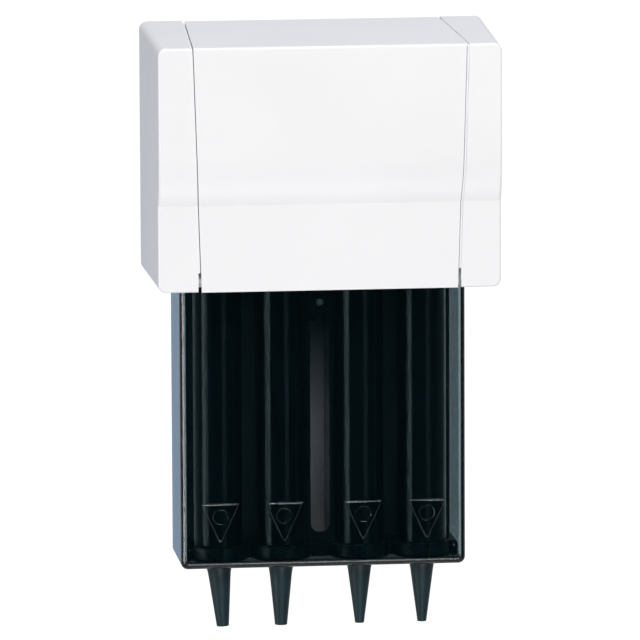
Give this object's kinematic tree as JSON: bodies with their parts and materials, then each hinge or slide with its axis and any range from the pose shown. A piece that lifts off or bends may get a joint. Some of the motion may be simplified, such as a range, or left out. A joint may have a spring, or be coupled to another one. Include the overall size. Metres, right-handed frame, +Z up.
{
  "type": "otoscope specula dispenser",
  "caption": "Wall-mounted dispenser that feeds nested otoscope specula down dark tubes behind a smoked clear cover, with a tip-down refill lid and soft retaining rings.",
  "frame": {"origin": "midway between the two upper wall screw holes, on the face that lies against the wall", "axes": "+X to the right as seen from the front, +Y into the wall, +Z up; the dispenser faces -Y"},
  "size_m": [0.149, 0.076, 0.2606],
  "materials": {
    "white_plastic": "moulded white ABS with a fine satin surface",
    "grey_plastic": "moulded dark grey ABS, matte",
    "dark_plastic": "moulded black polystyrene, glossy",
    "tube_plastic": "extruded dark acrylic tube, polished",
    "black_plastic": "moulded black ABS, semi-gloss",
    "smoked_clear": "moulded clear acrylic tinted smoke grey, polished",
    "soft_ring": "black thermoplastic elastomer, matte",
    "speculum_black": "moulded black polypropylene, fine matte",
    "steel": "plain zinc-plated steel"
  },
  "bodies": {
    "base": {"wall_plate": "grey_plastic", "housing": "white_plastic", "left_hinge_pin": "steel", "right_hinge_pin": "steel", "housing_screws": "steel", "spine": "dark_plastic", "spine_stud": "steel", "top_plate": "dark_plastic", "top_plate_screws": "steel", "base_tray": "black_plastic", "smoked_cover": "smoked_clear", "outer_left_tube": "tube_plastic", "outer_left_ring": "soft_ring", "inner_left_tube": "tube_plastic", "inner_left_ring": "soft_ring", "inner_right_tube": "tube_plastic", "inner_right_ring": "soft_ring", "outer_right_tube": "tube_plastic", "outer_right_ring": "soft_ring"},
    "lid": {"lid": "white_plastic"},
    "outer_left_speculum": {"outer_left_speculum": "speculum_black"},
    "outer_left_stack": {"outer_left_stack": "speculum_black"},
    "inner_left_speculum": {"inner_left_speculum": "speculum_black"},
    "inner_left_stack": {"inner_left_stack": "speculum_black"},
    "inner_right_speculum": {"inner_right_speculum": "speculum_black"},
    "inner_right_stack": {"inner_right_stack": "speculum_black"},
    "outer_right_speculum": {"outer_right_speculum": "speculum_black"},
    "outer_right_stack": {"outer_right_stack": "speculum_black"}
  },
  "joints": [
    {"name": "lid_hinge", "type": "hinge", "parent": "base", "child": "lid", "pos_m": [0, -0.06, -0.0786], "axis": [1, 0, 0], "range_deg": [0, 90]},
    {"name": "outer_left_pull", "type": "slide", "parent": "base", "child": "outer_left_speculum", "axis": [0, 0, -1], "range_m": [0, 0.04], "deforming": ["outer_left_ring"]},
    {"name": "outer_left_drop", "type": "slide", "parent": "base", "child": "outer_left_stack", "axis": [0, 0, -1], "range_m": [0, 0.017], "deforming": ["outer_left_ring"]},
    {"name": "inner_left_pull", "type": "slide", "parent": "base", "child": "inner_left_speculum", "axis": [0, 0, -1], "range_m": [0, 0.04], "deforming": ["inner_left_ring"]},
    {"name": "inner_left_drop", "type": "slide", "parent": "base", "child": "inner_left_stack", "axis": [0, 0, -1], "range_m": [0, 0.005], "deforming": ["inner_left_ring"]},
    {"name": "inner_right_pull", "type": "slide", "parent": "base", "child": "inner_right_speculum", "axis": [0, 0, -1], "range_m": [0, 0.04], "deforming": ["inner_right_ring"]},
    {"name": "inner_right_drop", "type": "slide", "parent": "base", "child": "inner_right_stack", "axis": [0, 0, -1], "range_m": [0, 0.005], "deforming": ["inner_right_ring"]},
    {"name": "outer_right_pull", "type": "slide", "parent": "base", "child": "outer_right_speculum", "axis": [0, 0, -1], "range_m": [0, 0.04], "deforming": ["outer_right_ring"]},
    {"name": "outer_right_drop", "type": "slide", "parent": "base", "child": "outer_right_stack", "axis": [0, 0, -1], "range_m": [0, 0.005], "deforming": ["outer_right_ring"]}
  ],
  "couplings": [
    {"joint": "outer_left_drop", "follows": "outer_left_pull", "ratio": 0.425},
    {"joint": "inner_left_drop", "follows": "inner_left_pull", "ratio": 0.125},
    {"joint": "inner_right_drop", "follows": "inner_right_pull", "ratio": 0.125},
    {"joint": "outer_right_drop", "follows": "outer_right_pull", "ratio": 0.125}
  ]
}
